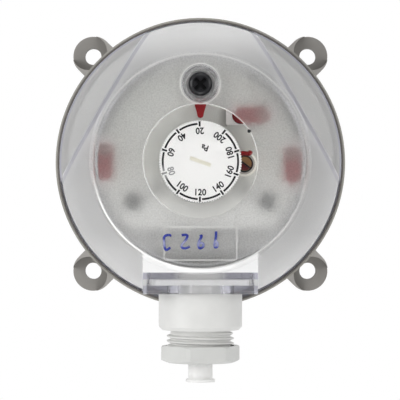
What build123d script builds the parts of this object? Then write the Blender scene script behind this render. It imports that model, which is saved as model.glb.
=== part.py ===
from build123d import *
import math
import os

# Differential pressure switch for air, as fixed to a wall.
# Millimetres. +X is right and +Z is up as seen from the front, which faces -Y.
# The wall is the plane y = 0, and a depth is a distance in front of the wall.

# Base housing: a grey moulded dish with a raised rim
case_radius = 42.5
rim_wall = 1.0
rim_proud = 1.0
base_back_inset = 2.9
base_neck_inset = 1.6
base_edge_round = 2.0
base_floor = 3.0
base_wall = 2.4
back_recess_inner_radius = 14.0
back_recess_inset = 6.6
back_recess = 1.0
back_rib_count = 8
back_rib_width = 1.6

# Diaphragm seat between the base and the upper housing
seat_depth = 20.0
seat_width = 4.7
seat_ledge = 3.0
diaphragm_thickness = 0.6
diaphragm_side_clearance = 0.2
roll_side_gap = 1.1
roll_width = 7.0
roll_drop = 2.4

# Fixing ears
fixing_spacing = 65.0
fixing_hole_radius = 2.5
ear_width = 12.0
ear_floor = 4.5
ear_seat_radius = 5.4
ear_seat_shift = 1.2
ear_gusset_drop = 1.0

# Hose nipples, both pointing down behind the cable gland
nipple_radius = 3.0
nipple_bore_radius = 1.25
nipple_tip_taper = 0.65
nipple_tip_length = 2.4
nipple_length = 13.5
nipple_stop_width = 1.0
nipple_stop = 1.0
nipple_stop_gap = 0.7
high_nipple_depth = 9.5
nipple_notch_clearance = 0.4

# Upper housing: the plate and clamping ring that close the low pressure side
housing_gap = 0.2
housing_plate = 2.0
snap_count = 8
snap_angle = 12.0
snap_height = 0.7
snap_thickness = 0.9
snap_clearance = 0.1

# Cover seal
gasket_inset = 0.9
gasket_width = 1.2
gasket_height = 1.3
gasket_proud = 0.3

# Diaphragm plate with its stud
plate_side_gap = 2.4
plate_thickness = 1.2
plate_rib = 0.8
plate_rib_width = 1.0
plate_rib_slope = 0.4
stud_radius = 2.0
stud_foot_width = 2.4
clip_width = 1.2
clip_thickness = 0.8
clip_gap = 0.3
diaphragm_travel = 0.6
running_clearance = 0.05

# Switch lever
lever_thickness = 0.8
lever_width = 7.0
lever_gap = 0.2
lever_pivot_x = -14.0
lever_end_x = 12.4
lever_end_round = 1.5
lever_pin_radius = 1.0
lever_knuckle_radius = 1.8
lever_knuckle_gap = 0.3
lever_hole_clearance = 0.5
pivot_ear_thickness = 2.0
pivot_ear_width = 5.0
pivot_side_gap = 0.3

# Range spring and its lower seat
spring_plate_radius = 5.8
spring_plate_thickness = 1.0
spring_mean_radius = 4.1
spring_wire_radius = 0.35
spring_turns = 4.0
spring_seat_gap = 0.05
spring_side_clearance = 0.15

# Micro switch
switch_length = 12.8
switch_width = 5.8
switch_height = 4.3
switch_round = 0.5
switch_side_gap = 0.8
switch_lever_gap = 1.6
switch_button_offset = 3.5
button_length = 2.8
button_width = 1.6
button_clearance = 0.12
button_hidden = 1.5
button_pocket = 2.9
switch_leg_width = 3.2
switch_leg_thickness = 0.5
switch_leg_reach = 3.4

# Mechanism plate
mech_plate_side_gap = 3.0
mech_plate_thickness = 2.0
mech_plate_bottom = -19.0
mech_plate_lip = 1.2
mech_plate_lip_height = 1.4
plate_screw_inset = 5.5
plate_screw_angle = 30.4
plate_screw_shank_radius = 1.25
plate_screw_head_radius = 2.4
plate_screw_head = 1.9
plate_screw_length = 7.0
plate_screw_cross = 2.6
plate_screw_cross_depth = 1.0
post_radius = 3.6

# Tower that holds the spring nut and the spindle
tower_wall = 1.3
tower_flange = 1.5
nut_radius = 5.9
nut_thickness = 2.0
nut_start_gap = 0.3
nut_side_clearance = 0.3
nut_key_width = 2.0
nut_key_reach = 1.2
nut_key_clearance = 0.15
nut_travel = 2.97
spindle_thread_radius = 2.4
spindle_neck_radius = 2.5
spindle_collar_radius = 4.0
spindle_collar = 0.9
spindle_top_radius = 2.0
spindle_top_flat = 1.4
spindle_reach = 4.0
spindle_chamfer = 0.4
axial_play = 0.1

# Setting dial
dial_radius = 11.8
dial_height = 5.8
dial_gap = 0.3
dial_skin = 1.8
dial_wall = 1.5
dial_hub_radius = 4.0
knurl_count = 100
knurl_depth = 0.35
knurl_land = 0.45
knurl_valley = 0.72
dial_slot_length = 6.3
dial_slot_width = 1.1
dial_slot_depth = 0.8
dial_slot_angle = -20.0

# Differential screw in its boss
diff_screw_x = 12.7
diff_screw_z = -0.55
diff_boss_radius = 3.6
diff_boss_height = 3.6
diff_head_radius = 2.1
diff_head = 0.9
diff_shank_radius = 1.4
diff_slot_angle = -37.0
slot_width = 0.6
slot_depth = 0.5

# Three terminals: left, right and upper right
left_terminal_inset = 0.5
right_terminal_inset = 1.6
right_terminal_z = -1.0
upper_terminal_inset = 13.4
upper_terminal_gap = 1.6
foot_length = 14.4
foot_width = 5.4
foot_height = 3.4
foot_round = 0.5
insulator_length = 11.0
insulator_width = 5.0
insulator_height = 5.0
blade_width = 6.3
blade_thickness = 0.8
blade_height = 6.6
terminal_screw_radius = 1.7
terminal_screw_head = 0.7
terminal_screw_shank = 1.1
terminal_screw_shift = 3.2
terminal_slot_angle = 35.0
lug_margin = 0.8

# Setting pointer
pointer_tip_gap = 0.65
pointer_tip_radius = 0.9
pointer_waist = 1.85
pointer_waist_width = 2.2
pointer_flare = 3.45
pointer_back_width = 3.25
pointer_length = 5.05
pointer_thickness = 1.0
pointer_below_dial = 0.6
pointer_leg = 1.1

# Cover: one clear moulding
dial_cover_gap = 8.0
cover_wall = 2.0
cover_rim_clearance = 0.15
cover_rim_height = 2.0
cover_rim_step = 0.8
cover_side_height = 5.7
cover_side_draft = 0.2
cover_bulge_inset = 2.5
cover_bulge_drop = 11.5
plateau_inset = 10.15
plateau_step = 1.0
plateau_bevel = 0.6
plateau_step_wall = 0.8
shoulder_width = 1.0
chord_inset = 10.0
chord_wall = 1.5
chord_angles = [30.0, 150.0]
ledge_rise = 0.2
window_radius = 16.2
window_ring_width = 0.35
window_ring_height = 0.25
name_field_width = 20.9
name_field_height = 9.8
name_field_corner = 1.0
name_field_inset = 7.2
name_field_line = 0.45

# Cover screw, with its post on the upper housing and its boss on the cover
cover_boss_radius = 5.5
cover_post_radius = 4.0
cover_post_side_gap = 6.0
cover_post_drop = 5.0
cover_post_gap = 0.2
post_rib_reach = 2.0
post_rib_width = 1.4
post_rib_drop = 1.0
screw_recess = 3.0
screw_recess_radius = 4.2
screw_dish = 0.9
screw_head_radius = 3.4
screw_head_height = 2.4
screw_head_round = 1.4
screw_shank_radius = 2.0
screw_length = 14.0
screw_clearance = 0.1
cross_width = 1.1
cross_reach = 2.1
cross_depth = 1.5

# Cable chamber and gland
gland_rim_gap = 2.5
chamber_width = 32.5
chamber_height = 20.0
chamber_inset = 4.9
chamber_front_gap = 1.3
chamber_wall = 1.8
chamber_floor = 2.4
guide_width = 2.6
guide_height = 1.8
gland_side_clearance = 0.2
gland_flange_width = 27.5
gland_flange = 1.6
gland_flange_round = 1.5
gland_neck_radius = 9.4
collar_radius = 12.0
collar_height = 10.7
collar_round = 1.0
thread_core_radius = 8.6
thread_height = 1.1
thread_length = 6.4
thread_chamfer = 0.5
inner_tube_radius = 6.4
inner_tube_height = 4.5
gland_bore_radius = 5.0
seal_chamber_wall = 2.0
seal_chamber_depth = 12.0
seal_length = 9.0
seal_chamfer = 1.0
nut_wall = 0.4
nut_corner = 1.2
nut_turn = 12.0
nut_top_gap = 4.5
gland_nut_height = 4.9
nut_end_wall = 0.9
thread_clearance = 0.1
nut_end_bore_radius = 5.4
nut_chamfer = 0.8
ring_flange_gap = 1.3
ring_flange = 0.6
ring_side_clearance = 0.3
ring_bore_radius = 4.7
ring_height = 3.4
ring_chamfer = 0.6
ring_play = 0.1
plug_radius = 3.5
plug_wall = 0.8
plug_rim_radius = 4.2
plug_rim = 0.8
plug_proud = 5.6
plug_length = 18.0
plug_chamfer = 0.4

# How far a cutting form passes the face that it cuts
overcut = 1.0

# Radii that follow from the sizes above
inner_rim_radius = case_radius - rim_wall
base_back_radius = case_radius - base_back_inset
base_neck_radius = case_radius - base_neck_inset
back_recess_outer_radius = base_back_radius - back_recess_inset
fixing_radius = fixing_spacing / math.sqrt(2)
housing_radius = inner_rim_radius - housing_gap
seat_inner_radius = inner_rim_radius - seat_width
roll_outer_radius = seat_inner_radius - roll_side_gap
roll_inner_radius = roll_outer_radius - roll_width
plate_radius = roll_inner_radius - plate_side_gap
cover_rim_radius = inner_rim_radius - cover_rim_clearance
cover_side_radius = cover_rim_radius - cover_rim_step
cover_bulge_radius = cover_side_radius - cover_bulge_inset
plateau_radius = cover_side_radius - plateau_inset
shoulder_radius = plateau_radius + shoulder_width
gasket_mean_radius = cover_side_radius - gasket_inset
chord_distance = case_radius - chord_inset
mech_plate_radius = chord_distance - chord_wall - mech_plate_side_gap
clip_radius = stud_radius + clip_width
nipple_end = case_radius + nipple_length
seal_chamber_radius = thread_core_radius - seal_chamber_wall
nut_bore_radius = thread_core_radius + thread_height + thread_clearance
nut_flat_radius = nut_bore_radius + nut_wall
nut_corner_radius = nut_flat_radius + nut_corner
ring_flange_radius = nut_bore_radius - ring_flange_gap
ring_radius = seal_chamber_radius - ring_side_clearance

# Depths that follow, from the wall to the front
flange_back_depth = seat_depth - seat_ledge
housing_back_depth = seat_depth + diaphragm_thickness
low_nipple_depth = housing_back_depth + housing_gap + nipple_radius
housing_front_depth = low_nipple_depth + nipple_radius + housing_gap
rim_front_depth = housing_front_depth + rim_proud
cover_back_depth = housing_front_depth + gasket_proud
clip_depth = housing_front_depth + clip_gap
lever_back_depth = clip_depth + clip_thickness + lever_gap
lever_front_depth = lever_back_depth + lever_thickness
pivot_depth = housing_front_depth + lever_knuckle_gap + lever_knuckle_radius
lever_tip = diaphragm_travel * spring_plate_radius / abs(lever_pivot_x)
spring_plate_depth = lever_front_depth + lever_tip + lever_gap
spring_back_depth = spring_plate_depth + spring_plate_thickness
switch_back_depth = lever_front_depth + switch_lever_gap
plate_back_depth = switch_back_depth + switch_height
plate_front_depth = plate_back_depth + mech_plate_thickness
nut_back_depth = plate_front_depth + nut_start_gap
nut_front_depth = nut_back_depth + nut_thickness
collar_back_depth = nut_front_depth + axial_play
tower_top_depth = collar_back_depth + spindle_collar + axial_play
dial_back_depth = tower_top_depth + tower_flange + dial_gap
dial_face_depth = dial_back_depth + dial_height
pointer_depth = dial_face_depth - pointer_below_dial - pointer_thickness
cover_depth = dial_face_depth + dial_cover_gap + cover_wall
cover_side_depth = cover_back_depth + cover_side_height
cover_bulge_depth = cover_depth - cover_bulge_drop
ledge_depth = cover_side_depth + ledge_rise
screw_seat_depth = cover_depth - screw_recess
cover_post_depth = screw_seat_depth - cover_post_drop
gland_depth = rim_front_depth + gland_rim_gap + collar_radius
chamber_front_depth = gland_depth + collar_radius + chamber_front_gap
gland_flange_length = 2 * (chamber_front_depth - chamber_wall - gland_side_clearance - gland_depth)

# Places across the front
switch_x = spring_plate_radius + switch_side_gap
button_x = switch_x + switch_button_offset
plate_screw_x = (mech_plate_radius - plate_screw_inset) * math.cos(math.radians(plate_screw_angle))
plate_screw_z = -(mech_plate_radius - plate_screw_inset) * math.sin(math.radians(plate_screw_angle))
cover_screw_z = dial_radius + cover_post_side_gap + cover_post_radius
pointer_tip_z = dial_radius + pointer_tip_gap
name_field_z = name_field_inset - plateau_radius
left_terminal = (left_terminal_inset - mech_plate_radius, 0.0, 90.0)
right_terminal = (mech_plate_radius - right_terminal_inset, right_terminal_z, 90.0)
upper_terminal = (mech_plate_radius - upper_terminal_inset, dial_radius + upper_terminal_gap, 0.0)
terminal_places = [left_terminal, right_terminal, upper_terminal]

# One tooth of the knurl: its share of the pitch, and the radius there
knurl_tooth = [(0.0, dial_radius), (knurl_land, dial_radius), (knurl_valley, dial_radius - knurl_depth)]

# Heights below the middle, from the chamber's floor to the plug
chamber_bottom = chamber_inset - case_radius
chamber_top = chamber_bottom + chamber_height
flange_bottom = chamber_bottom + chamber_floor
flange_top = flange_bottom + gland_flange
collar_bottom = chamber_bottom - collar_height
thread_end = collar_bottom - thread_length
nut_top = collar_bottom - nut_top_gap
nut_bottom = nut_top - gland_nut_height
plug_end_z = nut_bottom - plug_proud


# Basic forms, all seen from the front
def raised(depth, outline, height):
    return extrude(Plane.XZ.offset(depth) * outline, height)


def disc(radius, depth, height, x=0.0, z=0.0):
    return raised(depth, Pos(x, z) * Circle(radius), height)


def bar(width, height_z, depth, thickness, x=0.0, z=0.0):
    return raised(depth, Pos(x, z) * Rectangle(width, height_z), thickness)


def turned(outline):
    points = [(radius, -depth) for radius, depth in outline]
    return revolve(Polygon(*points, align=None), Axis.Y)


def turned_down(outline, depth):
    section = Plane.XZ * Polygon(*outline, align=None)
    return Pos(0, -depth, 0) * revolve(section, Axis.Z)


def slot_across(length, width, depth, floor_depth, x=0.0, z=0.0, angle=0.0):
    outline = Pos(x, z) * Rot(0, 0, angle) * Rectangle(length, width)
    return raised(floor_depth, outline, depth)


# A nipple for 6 mm hose, with a stop ring and a tapered end
def nipple(depth, root_z):
    stop_top = -case_radius - nipple_stop_gap
    outline = [
        (0, root_z),
        (nipple_radius, root_z),
        (nipple_radius, stop_top),
        (nipple_radius + nipple_stop_width, stop_top),
        (nipple_radius + nipple_stop_width, stop_top - nipple_stop),
        (nipple_radius, stop_top - nipple_stop),
        (nipple_radius, -nipple_end + nipple_tip_length),
        (nipple_radius - nipple_tip_taper, -nipple_end),
        (0, -nipple_end),
    ]
    return turned_down(outline, depth)


def nipple_bore(depth, top_z):
    outline = [
        (0, top_z),
        (nipple_bore_radius, top_z),
        (nipple_bore_radius, -nipple_end - overcut),
        (0, -nipple_end - overcut),
    ]
    return turned_down(outline, depth)


# One fixing ear, built on +X and turned to its corner
def fixing_ear(angle):
    top = flange_back_depth
    blank = bar(fixing_radius, ear_width, 0, top, x=fixing_radius / 2)
    blank += disc(ear_width / 2, 0, top, x=fixing_radius)
    tip = fixing_radius + ear_width / 2
    slope = Polygon(
        (base_neck_radius, ear_gusset_drop - top),
        (tip, -ear_floor),
        (tip + overcut, -ear_floor),
        (tip + overcut, -top - overcut),
        (base_neck_radius, -top - overcut),
        align=None,
    )
    blank -= extrude(slope, ear_width, both=True)
    seat_x = fixing_radius + ear_seat_shift
    blank -= disc(ear_seat_radius, ear_floor, top, x=seat_x)
    blank -= disc(fixing_hole_radius, -overcut, top, x=fixing_radius)
    return Rot(0, -angle, 0) * blank


def make_base_housing():
    wall_inside = base_back_radius - base_wall
    outline = [
        (0, 0),
        (base_back_radius - base_edge_round, 0),
        (base_back_radius, base_edge_round),
        (base_neck_radius, flange_back_depth),
        (case_radius, flange_back_depth + base_neck_inset),
        (case_radius, rim_front_depth),
        (0, rim_front_depth),
    ]
    base = turned(outline)
    for angle in (45, 135, 225, 315):
        base += fixing_ear(angle)
    hollow = [
        (0, base_floor),
        (wall_inside, base_floor),
        (wall_inside, flange_back_depth - (wall_inside - seat_inner_radius)),
        (seat_inner_radius, flange_back_depth),
        (seat_inner_radius, seat_depth),
        (inner_rim_radius, seat_depth),
        (inner_rim_radius, rim_front_depth + overcut),
        (0, rim_front_depth + overcut),
    ]
    base -= turned(hollow)
    recess = disc(back_recess_outer_radius, 0, back_recess)
    recess -= disc(back_recess_inner_radius, 0, back_recess)
    for i in range(back_rib_count):
        turn = Rot(0, 360 / back_rib_count * (i + 0.5), 0)
        rib = bar(case_radius, back_rib_width, 0, back_recess, x=case_radius / 2)
        recess -= turn * rib
    base -= recess
    base += nipple(high_nipple_depth, -wall_inside - base_wall / 2)
    base -= nipple_bore(high_nipple_depth, -wall_inside + overcut)
    notch_width = 2 * (nipple_radius + nipple_notch_clearance)
    notch_height = rim_front_depth - seat_depth
    base -= bar(notch_width, 4 * rim_wall, seat_depth, notch_height + overcut, z=-case_radius)
    snap_depth = housing_front_depth - snap_thickness - snap_clearance
    snap = disc(inner_rim_radius + rim_wall / 2, snap_depth, snap_thickness)
    snap -= disc(inner_rim_radius - snap_height, snap_depth, snap_thickness)
    for i in range(snap_count):
        angle = 360 / snap_count * (i + 0.5)
        half = math.radians(snap_angle / 2)
        reach = case_radius / math.cos(half)
        corner = reach * math.sin(half)
        side = reach * math.cos(half)
        sector = Polygon((0, 0), (side, -corner), (side, corner), align=None)
        wedge = raised(snap_depth, sector, snap_thickness)
        base += snap & (Rot(0, -angle, 0) * wedge)
    return base


def make_diaphragm():
    radius = housing_radius - diaphragm_side_clearance
    back = -seat_depth
    front = back - diaphragm_thickness
    middle = (roll_inner_radius + roll_outer_radius) / 2
    half = diaphragm_thickness / 2
    section = make_face(
        [
            Line((0, back), (roll_inner_radius - half, back)),
            ThreePointArc(
                (roll_inner_radius - half, back),
                (middle, back + roll_drop),
                (roll_outer_radius + half, back),
            ),
            Line((roll_outer_radius + half, back), (radius, back)),
            Line((radius, back), (radius, front)),
            Line((radius, front), (roll_outer_radius - half, front)),
            ThreePointArc(
                (roll_outer_radius - half, front),
                (middle, front + roll_drop),
                (roll_inner_radius + half, front),
            ),
            Line((roll_inner_radius + half, front), (0, front)),
            Line((0, front), (0, back)),
        ]
    )
    return revolve(section, Axis.Y)


def make_diaphragm_plate():
    back = housing_back_depth
    front = back + plate_thickness
    outline = [
        (0, back),
        (plate_radius, back),
        (plate_radius, front + plate_rib),
        (plate_radius - plate_rib_width, front + plate_rib),
        (plate_radius - plate_rib_width - plate_rib_slope, front),
        (stud_radius + stud_foot_width, front),
        (stud_radius, front + plate_rib),
        (stud_radius, spring_back_depth),
        (0, spring_back_depth),
    ]
    return turned(outline)


# The clip that makes the shoulder under the lever, and the spring's lower seat
def make_stud_clip():
    clip = disc(clip_radius, clip_depth, clip_thickness)
    return clip - disc(stud_radius, clip_depth, clip_thickness)


def make_spring_plate():
    seat = disc(spring_plate_radius, spring_plate_depth, spring_plate_thickness)
    locator = spring_mean_radius - spring_wire_radius - spring_side_clearance
    seat += disc(locator, spring_back_depth, spring_wire_radius)
    return seat - disc(stud_radius, spring_plate_depth, spring_plate_thickness)


def make_upper_housing():
    back = housing_back_depth
    front = housing_front_depth
    plate_back = front - housing_plate
    snap_step = front - snap_thickness - 2 * snap_clearance
    step_radius = housing_radius - snap_height
    outline = [
        (0, plate_back),
        (seat_inner_radius, plate_back),
        (seat_inner_radius, back),
        (housing_radius, back),
        (housing_radius, snap_step),
        (step_radius, snap_step),
        (step_radius, front),
        (0, front),
    ]
    housing = turned(outline)
    groove_depth = gasket_height - gasket_proud
    groove = disc(gasket_mean_radius + gasket_width / 2, front - groove_depth, groove_depth)
    groove -= disc(gasket_mean_radius - gasket_width / 2, front - groove_depth, groove_depth)
    housing -= groove
    housing += nipple(low_nipple_depth, -housing_radius + housing_gap)
    housing -= nipple_bore(low_nipple_depth, -seat_inner_radius + overcut)
    post_height = plate_back_depth - front
    for x in (-plate_screw_x, plate_screw_x):
        housing += disc(post_radius, front, post_height, x=x, z=plate_screw_z)
        bite = plate_screw_length - mech_plate_thickness
        housing -= disc(plate_screw_shank_radius, plate_back_depth - bite, bite, x=x, z=plate_screw_z)
    cover_post = disc(cover_post_radius, front, cover_post_depth - front, z=cover_screw_z)
    for turn in (0, 90):
        rib_length = 2 * (cover_post_radius + post_rib_reach)
        rib = Pos(0, cover_screw_z) * Rot(0, 0, turn) * Rectangle(rib_length, post_rib_width)
        cover_post += raised(front, rib, plate_back_depth - front - post_rib_drop)
    housing += cover_post
    screw_tip = screw_seat_depth - screw_length
    thread_bore = disc(screw_shank_radius + running_clearance, screw_tip - overcut,
                       cover_post_depth - screw_tip + overcut, z=cover_screw_z)
    housing -= thread_bore
    housing -= disc(stud_radius + running_clearance, plate_back, housing_plate)
    ear_top = pivot_depth + lever_knuckle_radius
    for side in (-1, 1):
        z = side * (lever_width / 2 + pivot_side_gap + pivot_ear_thickness / 2)
        ear = bar(pivot_ear_width, pivot_ear_thickness, front, ear_top - front, x=lever_pivot_x, z=z)
        housing += ear
    pin_hole = Pos(lever_pivot_x, -pivot_depth, 0) * Cylinder(lever_pin_radius, pin_length())
    return housing - pin_hole


def pin_length():
    return lever_width + 2 * (pivot_side_gap + pivot_ear_thickness)


def make_lever_pin():
    return Pos(lever_pivot_x, -pivot_depth, 0) * Cylinder(lever_pin_radius, pin_length())


def make_switch_lever():
    length = lever_end_x - lever_pivot_x
    middle = (lever_end_x + lever_pivot_x) / 2
    lever = bar(length, lever_width, lever_back_depth, lever_thickness, x=middle)
    lever = fillet(lever.edges().filter_by(Axis.Y).group_by(Axis.X)[-1], lever_end_round)
    pivot = Pos(lever_pivot_x, -pivot_depth, 0)
    lever += pivot * Cylinder(lever_knuckle_radius, lever_width)
    lever -= pivot * Cylinder(lever_pin_radius + running_clearance, lever_width)
    return lever - disc(stud_radius + lever_hole_clearance, lever_back_depth, lever_thickness)


def make_cover_gasket():
    back = housing_front_depth - gasket_height + gasket_proud
    ring = disc(gasket_mean_radius + gasket_width / 2, back, gasket_height)
    return ring - disc(gasket_mean_radius - gasket_width / 2, back, gasket_height)


def make_range_spring():
    start = spring_back_depth + spring_wire_radius + spring_seat_gap
    end = nut_back_depth - spring_wire_radius - spring_seat_gap
    height = end - start
    path = Helix(height / spring_turns, height, spring_mean_radius)
    wire = sweep(Plane(origin=path @ 0, z_dir=path % 0) * Circle(spring_wire_radius), path=path)
    return Pos(0, -start, 0) * Rot(90, 0, 0) * wire


def make_mechanism_plate():
    outline = Circle(mech_plate_radius)
    lip_inside = Circle(mech_plate_radius - mech_plate_lip)
    for x, z, angle in terminal_places:
        pad = Pos(x, z) * Rot(0, 0, angle) * RectangleRounded(
            foot_length + 2 * lug_margin, foot_width + 2 * lug_margin, lug_margin)
        outline += pad
        lip_inside += pad
    bottom_cut = Pos(0, mech_plate_bottom - mech_plate_radius) * Rectangle(
        4 * mech_plate_radius, 2 * mech_plate_radius)
    outline -= bottom_cut
    lip_bottom = Pos(0, mech_plate_lip) * bottom_cut
    plate = raised(plate_back_depth, outline, mech_plate_thickness)
    lip = raised(plate_front_depth, outline - (lip_inside - lip_bottom), mech_plate_lip_height)
    plate += lip
    chamber = nut_radius + nut_side_clearance
    skirt_depth = nut_back_depth - nut_travel - axial_play
    tower = disc(chamber + tower_wall + nut_key_reach, plate_front_depth,
                 tower_top_depth + tower_flange - plate_front_depth)
    plate += tower
    plate -= disc(chamber, skirt_depth, tower_top_depth - skirt_depth)
    plate -= bar(nut_key_width + 2 * nut_key_clearance, 2 * (chamber + nut_key_reach),
                 skirt_depth, collar_back_depth - skirt_depth)
    plate -= disc(spindle_neck_radius + running_clearance, tower_top_depth, tower_flange)
    plate += disc(diff_boss_radius, plate_front_depth, diff_boss_height, x=diff_screw_x, z=diff_screw_z)
    plate -= disc(diff_shank_radius, plate_back_depth, mech_plate_thickness + diff_boss_height,
                  x=diff_screw_x, z=diff_screw_z)
    plate -= disc(cover_post_radius + housing_gap, plate_back_depth,
                  mech_plate_thickness + mech_plate_lip_height, z=cover_screw_z)
    for x in (-plate_screw_x, plate_screw_x):
        plate -= disc(plate_screw_shank_radius, plate_back_depth, mech_plate_thickness, x=x, z=plate_screw_z)
    return plate


def make_plate_screws():
    screws = []
    for x in (-plate_screw_x, plate_screw_x):
        shank_depth = plate_front_depth - plate_screw_length
        screw = disc(plate_screw_shank_radius, shank_depth, plate_screw_length, x=x, z=plate_screw_z)
        head = disc(plate_screw_head_radius, plate_front_depth, plate_screw_head, x=x, z=plate_screw_z)
        head = fillet(head.edges().group_by(Axis.Y)[0], plate_screw_head / 2)
        screw += head
        cross_floor = plate_front_depth + plate_screw_head - plate_screw_cross_depth
        for angle in (0, 90):
            screw -= slot_across(plate_screw_cross, slot_width, plate_screw_cross_depth,
                                 cross_floor, x, plate_screw_z, angle)
        screws.append(screw)
    return Compound(children=screws)


def make_spring_nut():
    nut = disc(nut_radius, nut_back_depth, nut_thickness)
    nut += bar(nut_key_width, 2 * (nut_radius + nut_key_reach), nut_back_depth, nut_thickness)
    return nut - disc(spindle_thread_radius + running_clearance, nut_back_depth, nut_thickness)


def make_setting_spindle():
    stem_end = nut_back_depth - spindle_reach
    top = dial_face_depth - dial_skin
    outline = [
        (0, stem_end),
        (spindle_thread_radius - spindle_chamfer, stem_end),
        (spindle_thread_radius, stem_end + spindle_chamfer),
        (spindle_thread_radius, collar_back_depth),
        (spindle_collar_radius, collar_back_depth),
        (spindle_collar_radius, collar_back_depth + spindle_collar),
        (spindle_neck_radius, collar_back_depth + spindle_collar),
        (spindle_neck_radius, dial_back_depth),
        (spindle_top_radius, dial_back_depth),
        (spindle_top_radius, top),
        (0, top),
    ]
    spindle = turned(outline)
    flat = bar(2 * spindle_top_radius, spindle_top_radius, dial_back_depth, top - dial_back_depth,
               z=spindle_top_flat + spindle_top_radius / 2)
    return spindle - flat


def make_setpoint_dial():
    step = 360 / knurl_count
    outline = []
    for i in range(knurl_count):
        for share, radius in knurl_tooth:
            angle = math.radians((i + share) * step)
            outline.append((radius * math.cos(angle), radius * math.sin(angle)))
    dial = raised(dial_back_depth, Polygon(*outline, align=None), dial_height)
    hollow = disc(dial_radius - dial_wall, dial_back_depth, dial_height - dial_skin)
    hollow -= disc(dial_hub_radius, dial_back_depth, dial_height - dial_skin)
    dial -= hollow
    socket = Circle(spindle_top_radius) - Pos(0, spindle_top_flat + spindle_top_radius / 2) * Rectangle(
        2 * spindle_top_radius, spindle_top_radius)
    dial -= raised(dial_back_depth, socket, dial_height - dial_skin)
    return dial - slot_across(dial_slot_length, dial_slot_width, dial_slot_depth,
                              dial_face_depth - dial_slot_depth, angle=dial_slot_angle)


def make_micro_switch():
    middle = switch_x + switch_length / 2
    body = bar(switch_length, switch_width, switch_back_depth, switch_height, x=middle)
    body = fillet(body.edges().filter_by(Axis.Y), switch_round)
    pocket = bar(button_length + 2 * button_clearance, button_width + 2 * button_clearance,
                 switch_back_depth, button_pocket, x=button_x)
    body -= pocket
    legs_x = switch_x + switch_length
    leg_depth = switch_back_depth + (switch_height - switch_leg_width) / 2
    for z in (-switch_width / 4, switch_width / 4):
        body += bar(switch_leg_reach, switch_leg_thickness, leg_depth, switch_leg_width,
                    x=legs_x + switch_leg_reach / 2, z=z)
    return body


def make_switch_button():
    tip = lever_front_depth + lever_gap
    return bar(button_length, button_width, tip, switch_back_depth - tip + button_hidden, x=button_x)


def make_differential_screw():
    seat = plate_front_depth + diff_boss_height
    screw = disc(diff_shank_radius, plate_back_depth, seat - plate_back_depth, x=diff_screw_x, z=diff_screw_z)
    screw += disc(diff_head_radius, seat, diff_head, x=diff_screw_x, z=diff_screw_z)
    return screw - slot_across(2 * diff_head_radius, slot_width, slot_depth, seat + diff_head - slot_depth,
                               diff_screw_x, diff_screw_z, diff_slot_angle)


# The terminals: a white foot, a blade, a red insulator and a clamping screw each
def at_terminal(place, outline):
    x, z, angle = place
    return Pos(x, z) * Rot(0, 0, angle) * outline


def make_terminal_feet():
    feet = []
    for place in terminal_places:
        outline = RectangleRounded(foot_length, foot_width, foot_round)
        foot = raised(plate_front_depth, at_terminal(place, outline), foot_height)
        blade_slot = at_terminal(place, Rectangle(blade_width, blade_thickness))
        foot -= raised(plate_front_depth, blade_slot, foot_height)
        feet.append(foot)
    return Compound(children=feet)


def make_blade_terminals():
    blades = []
    for place in terminal_places:
        outline = at_terminal(place, Rectangle(blade_width, blade_thickness))
        blades.append(raised(plate_front_depth, outline, blade_height))
    return Compound(children=blades)


def make_terminal_insulators():
    bodies = []
    back = plate_front_depth + foot_height
    for place in terminal_places:
        outline = SlotOverall(insulator_length, insulator_width)
        body = raised(back, at_terminal(place, outline), insulator_height)
        rise = blade_height - foot_height
        body -= raised(back, at_terminal(place, Rectangle(blade_width, blade_thickness)), rise)
        shank = at_terminal(place, Pos(terminal_screw_shift, 0) * Circle(terminal_screw_shank))
        body -= raised(back + rise, shank, insulator_height - rise)
        bodies.append(body)
    return Compound(children=bodies)


def make_terminal_screws():
    screws = []
    top = plate_front_depth + foot_height + insulator_height
    bottom = plate_front_depth + blade_height
    for place in terminal_places:
        centre = Pos(terminal_screw_shift, 0)
        screw = raised(bottom, at_terminal(place, centre * Circle(terminal_screw_shank)), top - bottom)
        screw += raised(top, at_terminal(place, centre * Circle(terminal_screw_radius)), terminal_screw_head)
        across = Rot(0, 0, terminal_slot_angle) * Rectangle(2 * terminal_screw_radius, slot_width)
        slot = at_terminal(place, centre * across)
        screw -= raised(top + terminal_screw_head - slot_depth, slot, slot_depth)
        screws.append(screw)
    return Compound(children=screws)


def make_setting_pointer():
    back_z = pointer_tip_z + pointer_length
    half_waist = pointer_waist_width / 2
    half_back = pointer_back_width / 2
    finger = Polygon(
        (-pointer_tip_radius, pointer_tip_z + pointer_tip_radius),
        (pointer_tip_radius, pointer_tip_z + pointer_tip_radius),
        (half_waist, pointer_tip_z + pointer_waist),
        (half_back, pointer_tip_z + pointer_flare),
        (half_back, back_z),
        (-half_back, back_z),
        (-half_back, pointer_tip_z + pointer_flare),
        (-half_waist, pointer_tip_z + pointer_waist),
        align=None,
    )
    finger += Pos(0, pointer_tip_z + pointer_tip_radius) * Circle(pointer_tip_radius)
    pointer = raised(pointer_depth, finger, pointer_thickness)
    leg_height = pointer_depth - plate_front_depth
    return pointer + bar(pointer_back_width, pointer_leg, plate_front_depth, leg_height,
                         z=back_z - pointer_leg / 2)


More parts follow.
